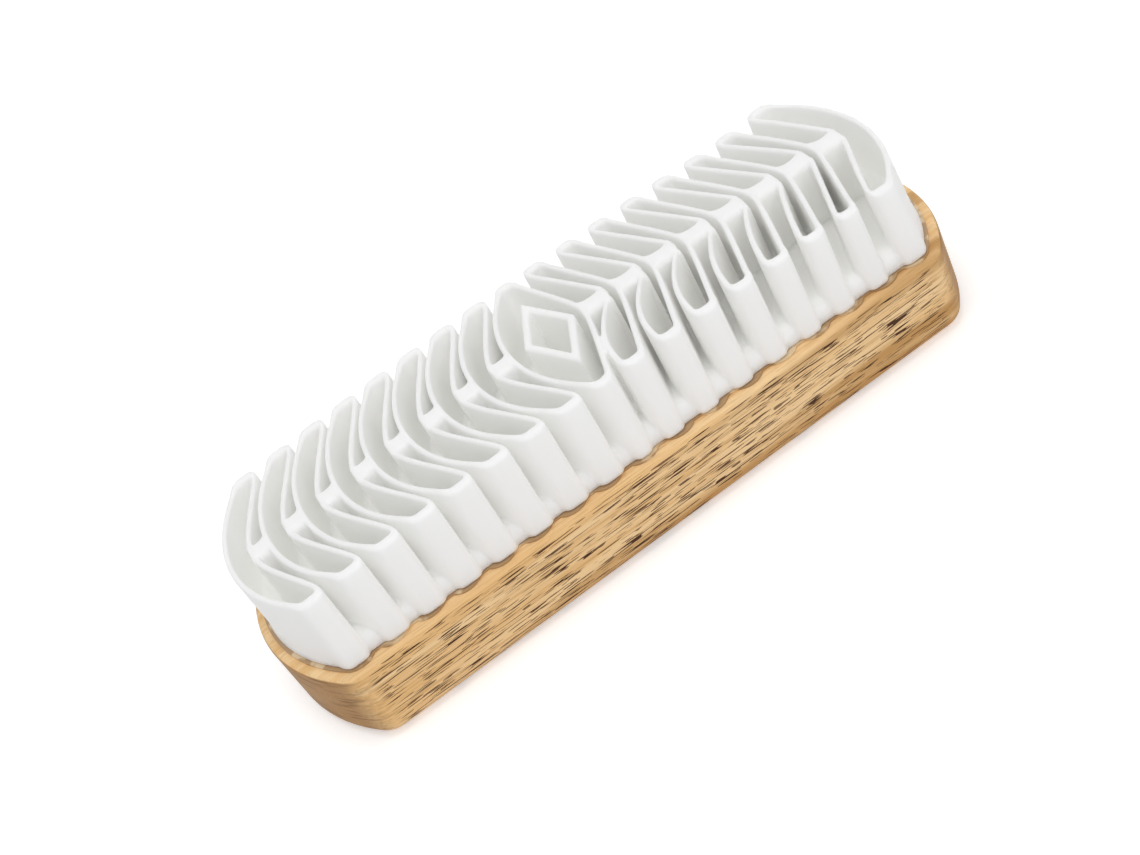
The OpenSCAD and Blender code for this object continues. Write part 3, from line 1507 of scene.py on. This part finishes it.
@dataclass(frozen=True)
class PhotoCamera:
    """The camera at the photograph's viewing angle, from a fit to the object's own lines.

    Attributes:
        turn: Degrees that it stands round from -Y towards -X.
        rise: Degrees above the horizon.
        roll: Degrees that it is turned about its own axis.
        target: The point that it faces, in millimetres.
        distance: How far from there it stands, in millimetres.
        focal: Focal length in pixels of the photograph.
        centre: Pixel of the photograph that the axis goes through.
        frame: Width and height of the photograph in pixels.
        sensor: Width of the sensor, in millimetres.
    """

    turn: float = 8.09
    rise: float = 36.76
    roll: float = -30.8
    target: tuple[float, float, float] = (-5.2, -2.39, 14.4)
    distance: float = 254.56
    focal: float = 1562.44
    centre: tuple[float, float] = (570.45, 426.71)
    frame: tuple[float, float] = (1140.0, 855.0)
    sensor: float = 36.0

    def place(self) -> Matrix:
        """Where the camera stands and how it is turned.

        Returns:
            Its matrix, in metres.
        """
        turn, rise, roll = (math.radians(angle) for angle in (self.turn, self.rise, self.roll))
        away = Vector((-math.sin(turn) * math.cos(rise), -math.cos(turn) * math.cos(rise), math.sin(rise)))
        right = (-away).cross(Vector((0, 0, 1))).normalized()
        up = right.cross(-away)
        tilted = math.cos(roll) * right + math.sin(roll) * up
        upright = -math.sin(roll) * right + math.cos(roll) * up
        stand = Vector(self.target) * MM + away * self.distance * MM
        axes = Matrix((tilted, upright, away)).transposed()
        return Matrix.Translation(stand) @ axes.to_4x4()

    def build(self) -> bpy.types.Object:
        """Makes the camera and gives it to the scene.

        Returns:
            The camera.
        """
        wide, high = self.frame
        data = bpy.data.cameras.new("camera")
        data.sensor_fit = "HORIZONTAL"
        data.sensor_width = self.sensor
        data.lens = self.focal * self.sensor / wide
        data.shift_x = -(self.centre[0] - wide / 2) / wide
        data.shift_y = (self.centre[1] - high / 2) / wide
        data.clip_start = 0.01
        camera = bpy.data.objects.new("camera", data)
        camera.matrix_world = self.place()
        bpy.context.scene.collection.objects.link(camera)
        bpy.context.scene.camera = camera
        return camera


@dataclass
class Studio:
    """Floor, light and camera.

    Attributes:
        floor_color: Colour of the floor.
        floor_half: Half the side of the floor, in metres.
        lift: What the camera sees added to the floor, so that it reads as plain white.
        ambient: Strength of the white surround as a light.
        bounces: How often light may pass from one matt surface to the next.
        aim: The point that the lamps face, in metres.
        lamps: The lamps.
        camera: The camera.
    """

    floor_color: Color = (0.9, 0.9, 0.9, 1.0)
    floor_half: float = 6.0
    lift: float = 0.35
    ambient: float = 0.6
    bounces: int = 10
    aim: tuple[float, float, float] = (0.0, 0.0, 0.02)
    lamps: tuple[Softbox, ...] = (
        Softbox("key", (0.2, -0.9, 0.75), size=0.5, power=1.9),
        Softbox("top", (0.0, 0.0, 1.1), size=0.7, power=3.4),
    )
    camera: PhotoCamera = field(default_factory=PhotoCamera)

    def floor(self) -> bpy.types.Object:
        """A wide pale floor under the block.

        Returns:
            The floor.
        """
        mesh = bpy.data.meshes.new("floor")
        s = self.floor_half
        mesh.from_pydata([(-s, -s, 0), (s, -s, 0), (s, s, 0), (-s, s, 0)], [], [(0, 1, 2, 3)])
        g = ShaderGraph(bpy.data.materials.new("floor"))
        plain = g.node("ShaderNodeBsdfDiffuse", {"Color": self.floor_color})
        strength = g.straight_view() * self.lift
        glow = g.node("ShaderNodeEmission", {"Color": (1, 1, 1, 1), "Strength": strength})
        both = g.node("ShaderNodeAddShader", {0: plain.outputs[0], 1: glow.outputs[0]})
        mesh.materials.append(g.close(both))
        floor = bpy.data.objects.new("floor", mesh)
        bpy.context.scene.collection.objects.link(floor)
        return floor

    def world(self) -> bpy.types.World:
        """A white surround: soft light for the object, plain white for the camera and mirrors.

        Returns:
            The world.
        """
        world = bpy.data.worlds.new("studio")
        bpy.context.scene.world = world
        g = ShaderGraph(world)
        strength = self.ambient + g.straight_view() * (1.0 - self.ambient)
        back = g.node("ShaderNodeBackground", {"Color": (1, 1, 1, 1), "Strength": strength})
        return g.close(back, "ShaderNodeOutputWorld")

    def build(self) -> None:
        """Sets up the whole studio."""
        self.floor()
        self.world()
        for lamp in self.lamps:
            lamp.light(Vector(self.aim))
        bpy.context.scene.cycles.diffuse_bounces = self.bounces
        self.camera.build()
        bpy.context.scene.view_settings.view_transform = "Standard"


def dress_film(frame: dict) -> bpy.types.Object:
    """Gives the CAD adhesive film its finish, a darker line that is partly painted contact shade.

    Returns:
        The film.
    """
    film = frame["nodes"]["adhesive_film"]
    film.data.materials.clear()
    film.data.materials.append(AdhesiveAndContactShadeFinish().dress("adhesive"))
    return film


def main() -> None:
    """Builds the brush and its studio in order."""
    logging.basicConfig(level=logging.INFO, format="%(name)s: %(message)s")
    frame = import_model()
    block = WoodenBlock()
    pieces = [block.build(), *RubberPad(base=block.sizes.height).build(), dress_film(frame)]
    for piece in pieces:
        LOG.info("%s built, %d faces", piece.name, len(piece.data.polygons))
    Studio().build()


if __name__ == "__main__":
    main()
